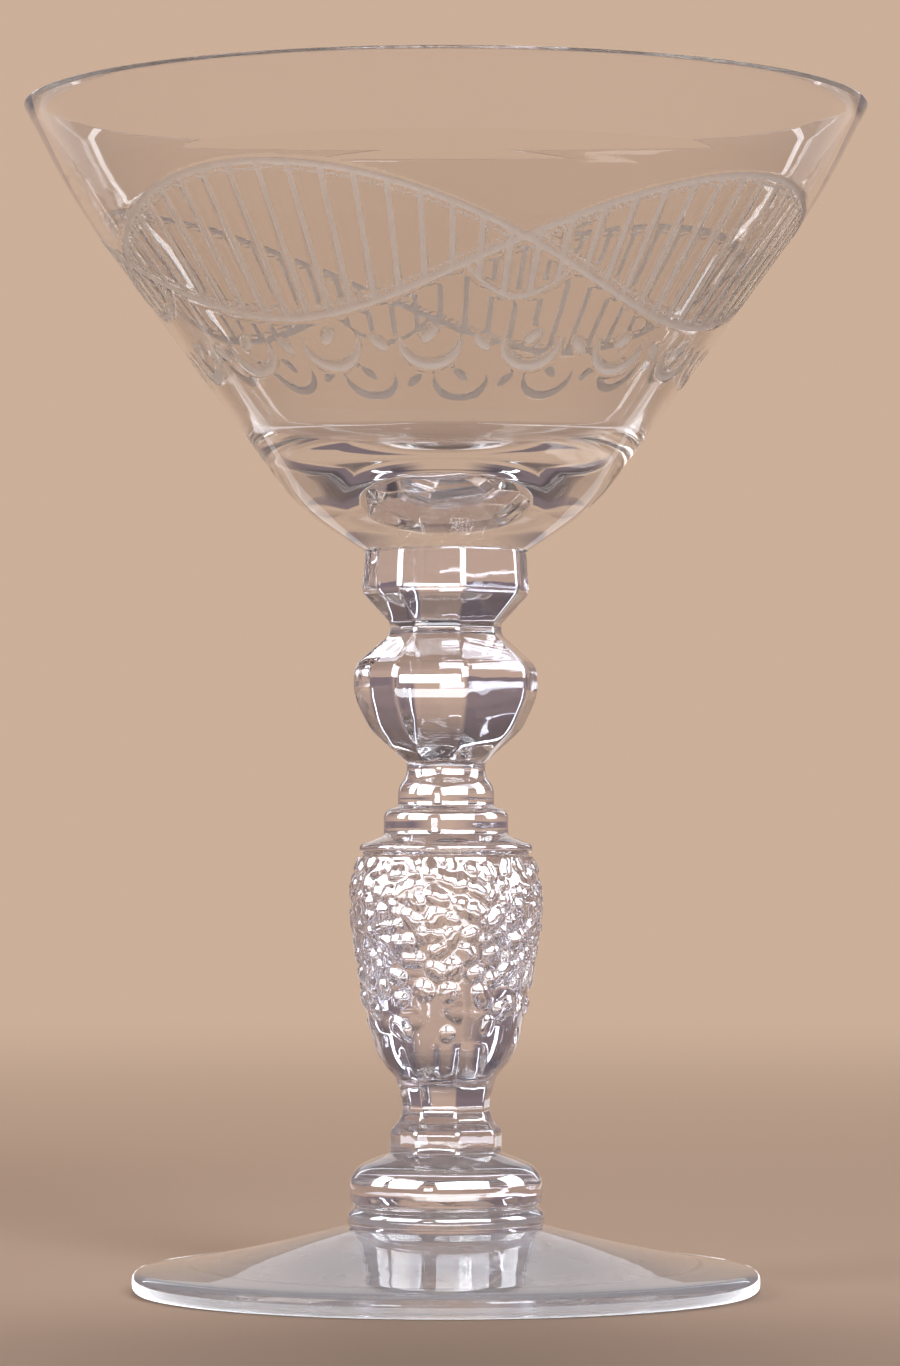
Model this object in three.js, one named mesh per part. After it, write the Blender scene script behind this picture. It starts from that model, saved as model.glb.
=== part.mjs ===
// Sherbet glass: a thin blown bowl on a pressed stem with flat panels, on a cast foot.
// Millimetres, +Z up. The resting ring of the foot is on z = 0 and the glass stands round the Z axis.
// The three gathers of glass meet on flat discs, where the real ones are sealed together hot.
import * as THREE from 'three';

// Foot
const FOOT_DIAMETER = 70;
const FOOT_EDGE_HEIGHT = 2.4;
const FOOT_EDGE_ROUND = 0.9;
const FOOT_RISE = 4.8;
const FOOT_SWEEP = 0.5;
const FOOT_SWEEP_REACH = 5;
const FOOT_SEAL_LEDGE = 0.5;
const FOOT_REST_DIAMETER = 58;
const FOOT_HOLLOW_DEPTH = 1.1;
const FOOT_HOLLOW_DIAMETER = 30;
const FOOT_HOLLOW_REACH = 6;

// Base of the stem: a low ring, a groove and a bell that closes in to the collar
const BASE_RING_DIAMETER = 22;
const BASE_RING_HEIGHT = 2.1;
const BASE_GROOVE_DIAMETER = 20.2;
const BASE_GROOVE_HEIGHT = 0.6;
const BASE_BELL_DIAMETER = 21.5;
const BASE_BELL_HEIGHT = 3.8;
const BASE_BELL_ROUND = 1.7;
const BASE_CROWN_HEIGHT = 1.8;

// Collar: a ring, a waist and a flare under the urn
const COLLAR_RING_DIAMETER = 12.8;
const COLLAR_RING_HEIGHT = 2.5;
const COLLAR_STEP_HEIGHT = 1.5;
const COLLAR_WAIST_DIAMETER = 10;
const COLLAR_WAIST_HEIGHT = 1.9;
const COLLAR_FLARE_HEIGHT = 2.5;
const COLLAR_ROUND = 0.8;

// Urn
const URN_FOOT_DIAMETER = 11.6;
const URN_HIP_DIAMETER = 15.8;
const URN_HIP_HEIGHT = 3;
const URN_SIDE_DIAMETER = 19;
const URN_SIDE_HEIGHT = 6.5;
const URN_BELLY_DIAMETER = 21.5;
const URN_BELLY_HEIGHT = 10;
const URN_TOP_DIAMETER = 19.6;
const URN_TOP_HEIGHT = 5.1;

// Shoulder: a lid on the urn, two rings and a neck
const LID_GROOVE_DIAMETER = 18.4;
const LID_GROOVE_HEIGHT = 0.6;
const LID_DIAMETER = 19.4;
const LID_EDGE_HEIGHT = 0.8;
const LID_CROWN_HEIGHT = 1.1;
const LID_ROUND = 0.7;
const LOWER_RING_DIAMETER = 14;
const LOWER_RING_HEIGHT = 2.7;
const UPPER_RING_DIAMETER = 10.8;
const UPPER_RING_HEIGHT = 2.1;
const RING_ROUND = 0.8;
const RING_STEP_HEIGHT = 0.5;
const NECK_DIAMETER = 8.8;
const NECK_HEIGHT = 2.7;

// Bulb with flat panels
const BULB_DIAMETER = 21.2;
const BULB_LOWER_HEIGHT = 7.5;
const BULB_LOWER_FULLNESS = 2.6;
const BULB_BAND_HEIGHT = 3.3;
const BULB_UPPER_HEIGHT = 3.7;
const BULB_ROUND = 1.3;

// Knop with flat panels, under the bowl
const KNOP_NECK_DIAMETER = 12.8;
const KNOP_NECK_HEIGHT = 1.1;
const KNOP_CHAMFER_HEIGHT = 3.4;
const KNOP_DIAMETER = 19.3;
const KNOP_BAND_HEIGHT = 4.8;
const KNOP_ROUND = 0.7;

// Bowl
const BOWL_SEAL_DIAMETER = 18.6;
const BOWL_CORNER_DIAMETER = 33.2;
const BOWL_CORNER_HEIGHT = 4.8;
const BOWL_CORNER_ROUND = 3.4;
const BOWL_CONE_HEIGHT = 34.4;
const BOWL_LIP_DIAMETER = 83.8;
const BOWL_LIP_HEIGHT = 10.6;
const BOWL_LIP_REACH = 4.6;
const BOWL_RIM_DIAMETER = 95;
const BOWL_RIM_WALL = 1.1;
const BOWL_RIM_ROUND = 0.4;
const BOWL_LIP_WALL = 1.4;
const BOWL_BOTTOM_START = 14;
const BOWL_BOTTOM_WALL = 2.2;
const BOWL_BOTTOM_THICKNESS = 6;
const BOWL_BOTTOM_WALL_PULL = 5;
const BOWL_BOTTOM_FLOOR_PULL = 9;

// Panels pressed into the stem: how many, the turn of an edge to the right of the front (which is -Y),
// and how flat they are in each zone, from 0 for round to 1 for flat
const PANEL_COUNT = 8;
const PANEL_TURN = 12;
const ROUND_ZONE = 0;
const URN_ZONE = 0.3;
const FLAT_ZONE = 1;

// Soft edge that a mould leaves, fineness of the curves, and the most of a side that a soft turn takes
const PRESSED_EDGE = 0.4;
const CURVE_STEPS = 3;
const BOTTOM_STEPS = 8;
const PANEL_STEPS = 4;
const ROUND_STEPS = 72;
const LONGEST_TURN = 0.45;

// Looks: clear glass, a little brighter where it is fire-polished
const CLEAR_GLASS = { metalness: 0, transparent: true, opacity: 0.35 };
const CAST_LOOK = { color: '#e9ecec', roughness: 0.05 };
const PRESSED_LOOK = { color: '#efeaee', roughness: 0.08 };
const BLOWN_LOOK = { color: '#f1ece6', roughness: 0.04 };

// Heights that stack up
const FOOT_HEIGHT = FOOT_EDGE_HEIGHT + FOOT_RISE;
const BASE_HEIGHT = BASE_RING_HEIGHT + BASE_GROOVE_HEIGHT + BASE_BELL_HEIGHT + BASE_CROWN_HEIGHT;
const COLLAR_HEIGHT = COLLAR_RING_HEIGHT + COLLAR_STEP_HEIGHT + COLLAR_WAIST_HEIGHT + COLLAR_FLARE_HEIGHT;
const URN_HEIGHT = URN_HIP_HEIGHT + URN_SIDE_HEIGHT + URN_BELLY_HEIGHT + URN_TOP_HEIGHT;
const LID_HEIGHT = LID_GROOVE_HEIGHT + LID_EDGE_HEIGHT + LID_CROWN_HEIGHT;
const RINGS_HEIGHT = LOWER_RING_HEIGHT + RING_STEP_HEIGHT + UPPER_RING_HEIGHT;
const SHOULDER_HEIGHT = LID_HEIGHT + RINGS_HEIGHT + NECK_HEIGHT;
const BULB_HEIGHT = BULB_LOWER_HEIGHT + BULB_BAND_HEIGHT + BULB_UPPER_HEIGHT;
const KNOP_HEIGHT = KNOP_NECK_HEIGHT + KNOP_CHAMFER_HEIGHT + KNOP_BAND_HEIGHT;

// Where each zone of the stem starts above the foot
const COLLAR_START = BASE_HEIGHT;
const URN_START = COLLAR_START + COLLAR_HEIGHT;
const SHOULDER_START = URN_START + URN_HEIGHT;
const BULB_START = SHOULDER_START + SHOULDER_HEIGHT;
const KNOP_START = BULB_START + BULB_HEIGHT;
const STEM_HEIGHT = KNOP_START + KNOP_HEIGHT;

// A corner of an outline: its diameter, its height, and how far its soft turn reaches along both sides
function turn(diameter, height, reach = 0) {
  return { point: new THREE.Vector2(diameter / 2, height), reach };
}

// The point of the side from a corner to its neighbour where the soft turn of the corner ends
function turnEnd(corner, neighbour) {
  const side = neighbour.point.clone().sub(corner.point);
  const reach = Math.min(corner.reach, LONGEST_TURN * side.length());
  return side.setLength(reach).add(corner.point);
}

// An outline from the axis outwards and up: straight sides with a soft or a sharp turn at each corner
function outline(turns) {
  const path = new THREE.Path();
  const first = turns[0].point;
  const last = turns[turns.length - 1].point;
  path.moveTo(first.x, first.y);
  for (let i = 1; i < turns.length - 1; i += 1) {
    const { point, reach } = turns[i];
    const enter = turnEnd(turns[i], turns[i - 1]);
    path.lineTo(enter.x, enter.y);
    if (reach > 0) {
      const leave = turnEnd(turns[i], turns[i + 1]);
      path.quadraticCurveTo(point.x, point.y, leave.x, leave.y);
    }
  }
  path.lineTo(last.x, last.y);
  return path.getPoints(CURVE_STEPS);
}

// A smooth outline through all of its points
function sweep(turns) {
  const curve = new THREE.SplineCurve(turns.map((corner) => corner.point));
  return curve.getPoints(CURVE_STEPS * (turns.length - 1));
}

// A closed body of revolution about Z, with its first column at an angle to the right of the front
function revolve(points, columns, startAngle = 0) {
  const body = new THREE.LatheGeometry(points, columns, startAngle);
  return body.rotateX(Math.PI / 2);
}

// Foot: hollow underside, resting ring, rounded edge, and an upper face that sweeps up to the seal
function footOutline() {
  const sealDiameter = BASE_RING_DIAMETER + 2 * FOOT_SEAL_LEDGE;
  const middleDiameter = (FOOT_DIAMETER + sealDiameter) / 2;
  const middleHeight = FOOT_EDGE_HEIGHT + FOOT_RISE / 2 - FOOT_SWEEP;
  return outline([
    turn(0, FOOT_HOLLOW_DEPTH),
    turn(FOOT_HOLLOW_DIAMETER, FOOT_HOLLOW_DEPTH, FOOT_HOLLOW_REACH),
    turn(FOOT_REST_DIAMETER, 0),
    turn(FOOT_DIAMETER, 0, FOOT_EDGE_ROUND),
    turn(FOOT_DIAMETER, FOOT_EDGE_HEIGHT, FOOT_EDGE_ROUND),
    turn(middleDiameter, middleHeight, FOOT_SWEEP_REACH),
    turn(sealDiameter, FOOT_HEIGHT, PRESSED_EDGE),
    turn(0, FOOT_HEIGHT),
  ]);
}

function baseOutline() {
  const grooveFloor = BASE_RING_HEIGHT + BASE_GROOVE_HEIGHT / 2;
  const bellFoot = BASE_RING_HEIGHT + BASE_GROOVE_HEIGHT;
  const ringRound = BASE_RING_HEIGHT / 2;
  return outline([
    turn(0, 0),
    turn(BASE_RING_DIAMETER, 0, ringRound),
    turn(BASE_RING_DIAMETER, BASE_RING_HEIGHT, ringRound),
    turn(BASE_GROOVE_DIAMETER, grooveFloor),
    turn(BASE_BELL_DIAMETER, bellFoot, PRESSED_EDGE),
    turn(BASE_BELL_DIAMETER, bellFoot + BASE_BELL_HEIGHT, BASE_BELL_ROUND),
    turn(COLLAR_RING_DIAMETER, BASE_HEIGHT),
  ]);
}

function collarOutline(start) {
  const ringTop = start + COLLAR_RING_HEIGHT;
  const waistFoot = ringTop + COLLAR_STEP_HEIGHT;
  return outline([
    turn(COLLAR_RING_DIAMETER, start),
    turn(COLLAR_RING_DIAMETER, ringTop, PRESSED_EDGE),
    turn(COLLAR_WAIST_DIAMETER, waistFoot, COLLAR_ROUND),
    turn(COLLAR_WAIST_DIAMETER, waistFoot + COLLAR_WAIST_HEIGHT, COLLAR_ROUND),
    turn(URN_FOOT_DIAMETER, start + COLLAR_HEIGHT),
  ]);
}

function urnOutline(start) {
  const hip = start + URN_HIP_HEIGHT;
  const side = hip + URN_SIDE_HEIGHT;
  const belly = side + URN_BELLY_HEIGHT;
  return sweep([
    turn(URN_FOOT_DIAMETER, start),
    turn(URN_HIP_DIAMETER, hip),
    turn(URN_SIDE_DIAMETER, side),
    turn(URN_BELLY_DIAMETER, belly),
    turn(URN_TOP_DIAMETER, belly + URN_TOP_HEIGHT),
  ]);
}

function shoulderOutline(start) {
  const lidFoot = start + LID_GROOVE_HEIGHT;
  const lidTop = start + LID_HEIGHT;
  const lowerTop = lidTop + LOWER_RING_HEIGHT;
  const upperFoot = lowerTop + RING_STEP_HEIGHT;
  const upperTop = upperFoot + UPPER_RING_HEIGHT;
  return outline([
    turn(URN_TOP_DIAMETER, start),
    turn(LID_GROOVE_DIAMETER, start + LID_GROOVE_HEIGHT / 2),
    turn(LID_DIAMETER, lidFoot, PRESSED_EDGE),
    turn(LID_DIAMETER, lidFoot + LID_EDGE_HEIGHT, LID_ROUND),
    turn(LOWER_RING_DIAMETER, lidTop),
    turn(LOWER_RING_DIAMETER, lowerTop, RING_ROUND),
    turn(UPPER_RING_DIAMETER, upperFoot),
    turn(UPPER_RING_DIAMETER, upperTop, RING_ROUND),
    turn(NECK_DIAMETER, upperTop + NECK_HEIGHT / 2, RING_ROUND),
    turn(NECK_DIAMETER, upperTop + NECK_HEIGHT),
  ]);
}

// The lower panels of the bulb swell out past a straight line by the fullness
function bulbOutline(start) {
  const bandFoot = start + BULB_LOWER_HEIGHT;
  const bandTop = bandFoot + BULB_BAND_HEIGHT;
  const swellDiameter = (NECK_DIAMETER + BULB_DIAMETER) / 2 + BULB_LOWER_FULLNESS;
  return outline([
    turn(NECK_DIAMETER, start),
    turn(swellDiameter, start + BULB_LOWER_HEIGHT / 2, BULB_ROUND),
    turn(BULB_DIAMETER, bandFoot, BULB_ROUND),
    turn(BULB_DIAMETER, bandTop, BULB_ROUND),
    turn(KNOP_NECK_DIAMETER, start + BULB_HEIGHT),
  ]);
}

function knopOutline(start) {
  const chamferFoot = start + KNOP_NECK_HEIGHT;
  const bandFoot = chamferFoot + KNOP_CHAMFER_HEIGHT;
  return outline([
    turn(KNOP_NECK_DIAMETER, start),
    turn(KNOP_NECK_DIAMETER, chamferFoot, KNOP_ROUND),
    turn(KNOP_DIAMETER, bandFoot, KNOP_ROUND),
    turn(BOWL_SEAL_DIAMETER, STEM_HEIGHT),
    turn(0, STEM_HEIGHT),
  ]);
}

// The zones of the stem from the foot up, each with how flat its panels are
function stemZones() {
  return [
    { points: baseOutline(), flatness: ROUND_ZONE },
    { points: collarOutline(COLLAR_START), flatness: FLAT_ZONE },
    { points: urnOutline(URN_START), flatness: URN_ZONE },
    { points: shoulderOutline(SHOULDER_START), flatness: ROUND_ZONE },
    { points: bulbOutline(BULB_START), flatness: FLAT_ZONE },
    { points: knopOutline(KNOP_START), flatness: FLAT_ZONE },
  ];
}

// Draws every column between two panel edges in towards the chord from one edge to the other
function pressPanels(body, flatness) {
  const position = body.attributes.position;
  const panelAngle = (2 * Math.PI) / PANEL_COUNT;
  for (let i = 0; i < position.count; i += 1) {
    const column = Math.floor(i / flatness.length) % PANEL_STEPS;
    const fromMiddle = panelAngle * (column / PANEL_STEPS - 1 / 2);
    const chord = Math.cos(panelAngle / 2) / Math.cos(fromMiddle);
    const pull = THREE.MathUtils.lerp(1, chord, flatness[i % flatness.length]);
    position.setX(i, position.getX(i) * pull);
    position.setY(i, position.getY(i) * pull);
  }
  return body;
}

// Stem: one turned body of all zones, then pressed into panels. Zones share the point where they meet.
function stemBody() {
  const points = [];
  const flatness = [];
  for (const zone of stemZones()) {
    const fresh = zone.points.slice(points.length > 0 ? 1 : 0);
    points.push(...fresh);
    flatness.push(...fresh.map(() => zone.flatness));
  }
  const columns = PANEL_COUNT * PANEL_STEPS;
  const body = revolve(points, columns, THREE.MathUtils.degToRad(PANEL_TURN));
  return pressPanels(body, flatness);
}

// Inside bottom of the bowl: the straight wall bends smoothly into a floor that is level on the axis
function bowlBottom(wallTop, wallEnd) {
  const downWall = wallEnd.clone().sub(wallTop).setLength(BOWL_BOTTOM_WALL_PULL).add(wallEnd);
  const alongFloor = new THREE.Vector2(BOWL_BOTTOM_FLOOR_PULL, BOWL_BOTTOM_THICKNESS);
  const middle = new THREE.Vector2(0, BOWL_BOTTOM_THICKNESS);
  return new THREE.CubicBezierCurve(wallEnd, downWall, alongFloor, middle).getPoints(BOTTOM_STEPS);
}

// Bowl: the outer wall up to the rim, and the inner wall back down to the round bottom
function bowlOutline() {
  const lipFoot = BOWL_CORNER_HEIGHT + BOWL_CONE_HEIGHT;
  const rim = lipFoot + BOWL_LIP_HEIGHT;
  const bottomShare = (BOWL_BOTTOM_START - BOWL_CORNER_HEIGHT) / BOWL_CONE_HEIGHT;
  const outerAtBottom = THREE.MathUtils.lerp(BOWL_CORNER_DIAMETER, BOWL_LIP_DIAMETER, bottomShare);
  const innerLip = turn(BOWL_LIP_DIAMETER - 2 * BOWL_LIP_WALL, lipFoot, BOWL_LIP_REACH);
  const innerEnd = turn(outerAtBottom - 2 * BOWL_BOTTOM_WALL, BOWL_BOTTOM_START);
  const walls = outline([
    turn(0, 0),
    turn(BOWL_SEAL_DIAMETER, 0),
    turn(BOWL_CORNER_DIAMETER, BOWL_CORNER_HEIGHT, BOWL_CORNER_ROUND),
    turn(BOWL_LIP_DIAMETER, lipFoot, BOWL_LIP_REACH),
    turn(BOWL_RIM_DIAMETER, rim, BOWL_RIM_ROUND),
    turn(BOWL_RIM_DIAMETER - 2 * BOWL_RIM_WALL, rim, BOWL_RIM_ROUND),
    innerLip,
    innerEnd,
  ]);
  const bottom = bowlBottom(innerLip.point, innerEnd.point);
  return walls.concat(bottom.slice(1));
}

// One gather of clear glass
function gather(name, body, look) {
  const mesh = new THREE.Mesh(body, new THREE.MeshStandardMaterial({ ...CLEAR_GLASS, ...look }));
  mesh.name = name;
  return mesh;
}

const foot = gather('foot', revolve(footOutline(), ROUND_STEPS), CAST_LOOK);
const stem = gather('stem', stemBody(), PRESSED_LOOK);
const bowl = gather('bowl', revolve(bowlOutline(), ROUND_STEPS), BLOWN_LOOK);

// The stem stands on the foot, and the bowl on the stem
const glass = new THREE.Group();
stem.position.z = FOOT_HEIGHT;
bowl.position.z = STEM_HEIGHT;
stem.add(bowl);
glass.add(foot, stem);

export default glass;
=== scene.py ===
# %% [markdown]
# # A stemmed sherbet glass in clear glass
# The real glass is three gathers sealed together hot: a thin blown bowl, a stem pressed in one mould, and a
# round foot. All three are round about one upright axis, so the lesson draws half an outline for each,
# spins it round the axis, and then works the glass as its makers do: panels and pebbles are pressed into
# the stem, and a frieze is cut into the bowl. Sizes of the glass are in millimetres, which MM turns into
# metres.

# %% Load the measured frame
import math
import random

import bmesh
import bpy
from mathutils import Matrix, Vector, geometry, kdtree


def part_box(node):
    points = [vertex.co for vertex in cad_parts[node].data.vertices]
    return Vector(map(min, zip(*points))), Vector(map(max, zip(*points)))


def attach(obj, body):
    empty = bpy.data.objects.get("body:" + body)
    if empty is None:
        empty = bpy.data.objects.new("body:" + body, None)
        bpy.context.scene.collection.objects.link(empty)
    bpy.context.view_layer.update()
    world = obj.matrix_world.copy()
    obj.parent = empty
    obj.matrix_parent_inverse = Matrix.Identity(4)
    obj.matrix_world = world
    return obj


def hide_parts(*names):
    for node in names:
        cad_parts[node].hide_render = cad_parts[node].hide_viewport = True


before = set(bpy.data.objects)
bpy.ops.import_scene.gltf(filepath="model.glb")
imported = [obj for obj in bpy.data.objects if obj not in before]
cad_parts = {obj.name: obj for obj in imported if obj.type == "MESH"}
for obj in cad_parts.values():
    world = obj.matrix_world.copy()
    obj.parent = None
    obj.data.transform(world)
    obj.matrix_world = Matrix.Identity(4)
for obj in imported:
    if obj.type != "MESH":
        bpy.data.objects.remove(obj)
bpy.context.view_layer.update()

MM = 0.001

# %% [markdown]
# ## Heights and widths from the frame
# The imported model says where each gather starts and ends, and how wide the foot and the rim are. Reading
# these from the frame keeps the looks on the measured glass.

# %% Read where the three gathers meet
foot_low, foot_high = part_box("foot")
stem_low, stem_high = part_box("stem")
bowl_low, bowl_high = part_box("bowl")

FOOT_DIAMETER = (foot_high.x - foot_low.x) / MM
FOOT_TOP = foot_high.z / MM
STEM_TOP = stem_high.z / MM
RIM_HEIGHT = bowl_high.z / MM
RIM_DIAMETER = (bowl_high.x - bowl_low.x) / MM
print(f"foot {FOOT_DIAMETER:.1f} wide, seals at {FOOT_TOP:.1f} and {STEM_TOP:.1f}")
print(f"rim {RIM_DIAMETER:.1f} wide at {RIM_HEIGHT:.1f}")

# %% [markdown]
# ## Drawing an outline
# A turner draws half of the shape: straight sides and corners. A soft corner could be typed in as many
# points, but a vertex bevel on a wire does it: it cuts the corner back by a reach along both sides and puts
# a round arc there. The wire lies in the half plane in front of the axis, where y is minus the radius.

# %% Outline helpers
TURN_STEPS = 4
LONGEST_TURN = 0.45
MERGE = 0.001 * MM


def corner(diameter, height, reach=0.0):
    """A corner of an outline, and how far its soft turn reaches along both sides."""
    return Vector((0.0, -diameter / 2, height)) * MM, reach * MM


def draw_outline(wire, corners):
    """Adds a wire through the corners, from the axis outwards, with soft turns."""
    points = [wire.verts.new(place) for place, _ in corners]
    sides = [wire.edges.new(pair) for pair in zip(points, points[1:])]
    lengths = [side.calc_length() for side in sides]
    for i in range(1, len(points) - 1):
        room = LONGEST_TURN * min(lengths[i - 1], lengths[i])
        reach = min(corners[i][1], room)
        if reach > 0:
            bmesh.ops.bevel(wire, geom=[points[i]], offset=reach, offset_type='OFFSET', segments=TURN_STEPS,
                            profile=0.5, affect='VERTICES', clamp_overlap=False, material=-1)


def add_rows(wire, row_height, low=0.0, high=math.inf):
    """Cuts the sides of a wire between two heights into rows no longer than row_height.

    A level side stays whole, because it is a flat disc that needs no rows.
    """
    for side in wire.edges[:]:
        start, end = (vert.co.z for vert in side.verts)
        cuts = math.ceil(side.calc_length() / (row_height * MM)) - 1
        level = abs(end - start) < MERGE
        if cuts > 0 and not level and low * MM <= (start + end) / 2 <= high * MM:
            bmesh.ops.subdivide_edges(wire, edges=[side], cuts=cuts)


print("steps in a soft corner:", TURN_STEPS)

# %% [markdown]
# ## Spinning the outline
# A spin copies the wire round the axis and skins it with quads. Many steps in one spin are slow, so one
# sector is spun, and a second spin copies it round. The seams and the points on the axis are then merged,
# and the normals turned out of the glass. A closed body matters: light bends as it enters and leaves the
# glass, so a hole would show.

# %% Spin and finish helpers
AXIS = (0, 0, 1)
CENTRE = (0, 0, 0)
SECTORS = 8
SHARP_TURN = math.radians(32)


def spin_round(wire, columns):
    """Spins a wire into a closed body with so many columns, a multiple of the sectors."""
    sector = math.tau / SECTORS
    bmesh.ops.spin(wire, geom=wire.verts[:] + wire.edges[:], cent=CENTRE, axis=AXIS, dvec=CENTRE,
                   angle=sector, steps=columns // SECTORS, use_duplicate=False)
    bmesh.ops.spin(wire, geom=wire.verts[:] + wire.edges[:] + wire.faces[:], cent=CENTRE, axis=AXIS,
                   dvec=CENTRE, angle=math.tau - sector, steps=SECTORS - 1, use_duplicate=True)
    bmesh.ops.remove_doubles(wire, verts=wire.verts[:], dist=MERGE)
    bmesh.ops.recalc_face_normals(wire, faces=wire.faces[:])


def make_piece(name, body):
    """Turns a body into an object at the origin, smooth apart from its sharp edges."""
    for face in body.faces:
        face.smooth = True
    for edge in body.edges:
        edge.smooth = edge.calc_face_angle(0.0) < SHARP_TURN
    open_edges = sum(not edge.is_manifold for edge in body.edges)
    volume = body.calc_volume() / MM ** 3
    triangles = sum(len(face.verts) - 2 for face in body.faces)
    print(f"{name}: {triangles} triangles, {open_edges} open edges, {volume:.0f} cubic millimetres")
    mesh = bpy.data.meshes.new(name)
    body.to_mesh(mesh)
    body.free()
    piece = bpy.data.objects.new(name, mesh)
    bpy.context.collection.objects.link(piece)
    return piece


print("sectors in a turn:", SECTORS)

# %% [markdown]
# ## The foot
# The foot is a round plate cast on under the stem. Its upper face sweeps up to the seal, its edge is
# rounded, and its underside is hollowed so that it stands on a ring that is ground flat. A bevelled disc
# would lack the sweep and the hollow; one outline holds them all. It ends in a flat disc, the seal, with an
# edge of its own so that its faces can be told apart later.

# %% Turn the foot
FOOT_EDGE_HEIGHT = 2.4
FOOT_EDGE_ROUND = 0.9
FOOT_SWEEP = 0.5
FOOT_SWEEP_REACH = 7.0
REST_DIAMETER = 58.0
REST_ROUND = 0.3
HOLLOW_DEPTH = 1.1
HOLLOW_DIAMETER = 30.0
HOLLOW_REACH = 6.0
FOOT_SEAL_DIAMETER = 21.4
FOOT_LEDGE_DIAMETER = 23.0
FOOT_LEDGE_ROUND = 0.4
FOOT_ROW = 1.2
ROUND_COLUMNS = 320


def turn_foot():
    """The foot: hollow underside, ground ring, rounded edge and swept upper face."""
    middle_diameter = (FOOT_DIAMETER + FOOT_LEDGE_DIAMETER) / 2
    middle_height = (FOOT_EDGE_HEIGHT + FOOT_TOP) / 2 - FOOT_SWEEP
    body = bmesh.new()
    draw_outline(body, [
        corner(0, HOLLOW_DEPTH),
        corner(HOLLOW_DIAMETER, HOLLOW_DEPTH, HOLLOW_REACH),
        corner(REST_DIAMETER, 0, REST_ROUND),
        corner(FOOT_DIAMETER, 0, FOOT_EDGE_ROUND),
        corner(FOOT_DIAMETER, FOOT_EDGE_HEIGHT, FOOT_EDGE_ROUND),
        corner(middle_diameter, middle_height, FOOT_SWEEP_REACH),
        corner(FOOT_LEDGE_DIAMETER, FOOT_TOP, FOOT_LEDGE_ROUND),
        corner(FOOT_SEAL_DIAMETER, FOOT_TOP),
        corner(0, FOOT_TOP),
    ])
    add_rows(body, FOOT_ROW)
    spin_round(body, ROUND_COLUMNS)
    return make_piece("cast_foot", body)


cast_foot = turn_foot()

# %% [markdown]
# ## The outline of the stem
# The stem comes out of one mould as one lump: a ringed base, a collar, an urn, a shoulder with a lid and
# two rings, a bulb and a knop. Stacked balls and discs would leave walls inside the clear glass, so all
# zones share one outline, each a short list of corners. The urn is its only free curve: a chain of Bezier
# pieces through five points, with handles a sixth of the way between the neighbours to keep it smooth.

# %% Base and collar
SEAL_SOFTNESS = 0.3
PRESSED_EDGE = 0.4
BASE_RING = 22.0
BASE_RING_HEIGHT = 2.1
BASE_GROOVE = 20.2
BASE_GROOVE_HEIGHT = 0.6
BASE_BELL = 21.5
BASE_BELL_HEIGHT = 3.8
BASE_BELL_ROUND = 1.7
BASE_CROWN_HEIGHT = 1.8
COLLAR_RING = 12.8
COLLAR_RING_HEIGHT = 2.5
COLLAR_STEP_HEIGHT = 1.5
COLLAR_WAIST = 10.0
COLLAR_WAIST_HEIGHT = 1.9
COLLAR_FLARE_HEIGHT = 2.5
COLLAR_ROUND = 0.8
URN_FOOT = 11.6

BELL_FOOT = FOOT_TOP + BASE_RING_HEIGHT + BASE_GROOVE_HEIGHT
COLLAR_START = BELL_FOOT + BASE_BELL_HEIGHT + BASE_CROWN_HEIGHT
COLLAR_WAIST_FOOT = COLLAR_START + COLLAR_RING_HEIGHT + COLLAR_STEP_HEIGHT
URN_START = COLLAR_WAIST_FOOT + COLLAR_WAIST_HEIGHT + COLLAR_FLARE_HEIGHT


def base_corners():
    """From the seal on the foot up to the crown of the bell."""
    ring_top = FOOT_TOP + BASE_RING_HEIGHT
    ring_round = BASE_RING_HEIGHT / 4
    return [
        corner(0, FOOT_TOP),
        corner(FOOT_SEAL_DIAMETER, FOOT_TOP),
        corner(BASE_RING, FOOT_TOP + SEAL_SOFTNESS, SEAL_SOFTNESS),
        corner(BASE_RING, ring_top - ring_round, ring_round),
        corner(BASE_RING - 2 * ring_round, ring_top, ring_round),
        corner(BASE_GROOVE, ring_top + BASE_GROOVE_HEIGHT / 2, BASE_GROOVE_HEIGHT / 4),
        corner(BASE_BELL, BELL_FOOT, PRESSED_EDGE),
        corner(BASE_BELL, BELL_FOOT + BASE_BELL_HEIGHT, BASE_BELL_ROUND),
        corner(COLLAR_RING, COLLAR_START, PRESSED_EDGE / 2),
    ]


def collar_corners():
    """A ring, a waist and a flare under the urn."""
    ring_top = COLLAR_START + COLLAR_RING_HEIGHT
    return [
        corner(COLLAR_RING, ring_top, PRESSED_EDGE),
        corner(COLLAR_WAIST, COLLAR_WAIST_FOOT, COLLAR_ROUND),
        corner(COLLAR_WAIST, COLLAR_WAIST_FOOT + COLLAR_WAIST_HEIGHT, COLLAR_ROUND),
        corner(URN_FOOT, URN_START),
    ]


print(f"base {FOOT_TOP:.1f} to {COLLAR_START:.1f}, collar to {URN_START:.1f}")

# %% Urn
URN_HIP = 15.8
URN_HIP_HEIGHT = 3.0
URN_SIDE = 19.0
URN_SIDE_HEIGHT = 6.5
URN_BELLY = 21.5
URN_BELLY_HEIGHT = 10.0
URN_TOP = 19.6
URN_TOP_HEIGHT = 5.1
CURVE_STEPS = 8
HANDLE_PARTS = 6

URN_HIP_AT = URN_START + URN_HIP_HEIGHT
URN_SIDE_AT = URN_HIP_AT + URN_SIDE_HEIGHT
URN_BELLY_AT = URN_SIDE_AT + URN_BELLY_HEIGHT
SHOULDER_START = URN_BELLY_AT + URN_TOP_HEIGHT


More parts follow.
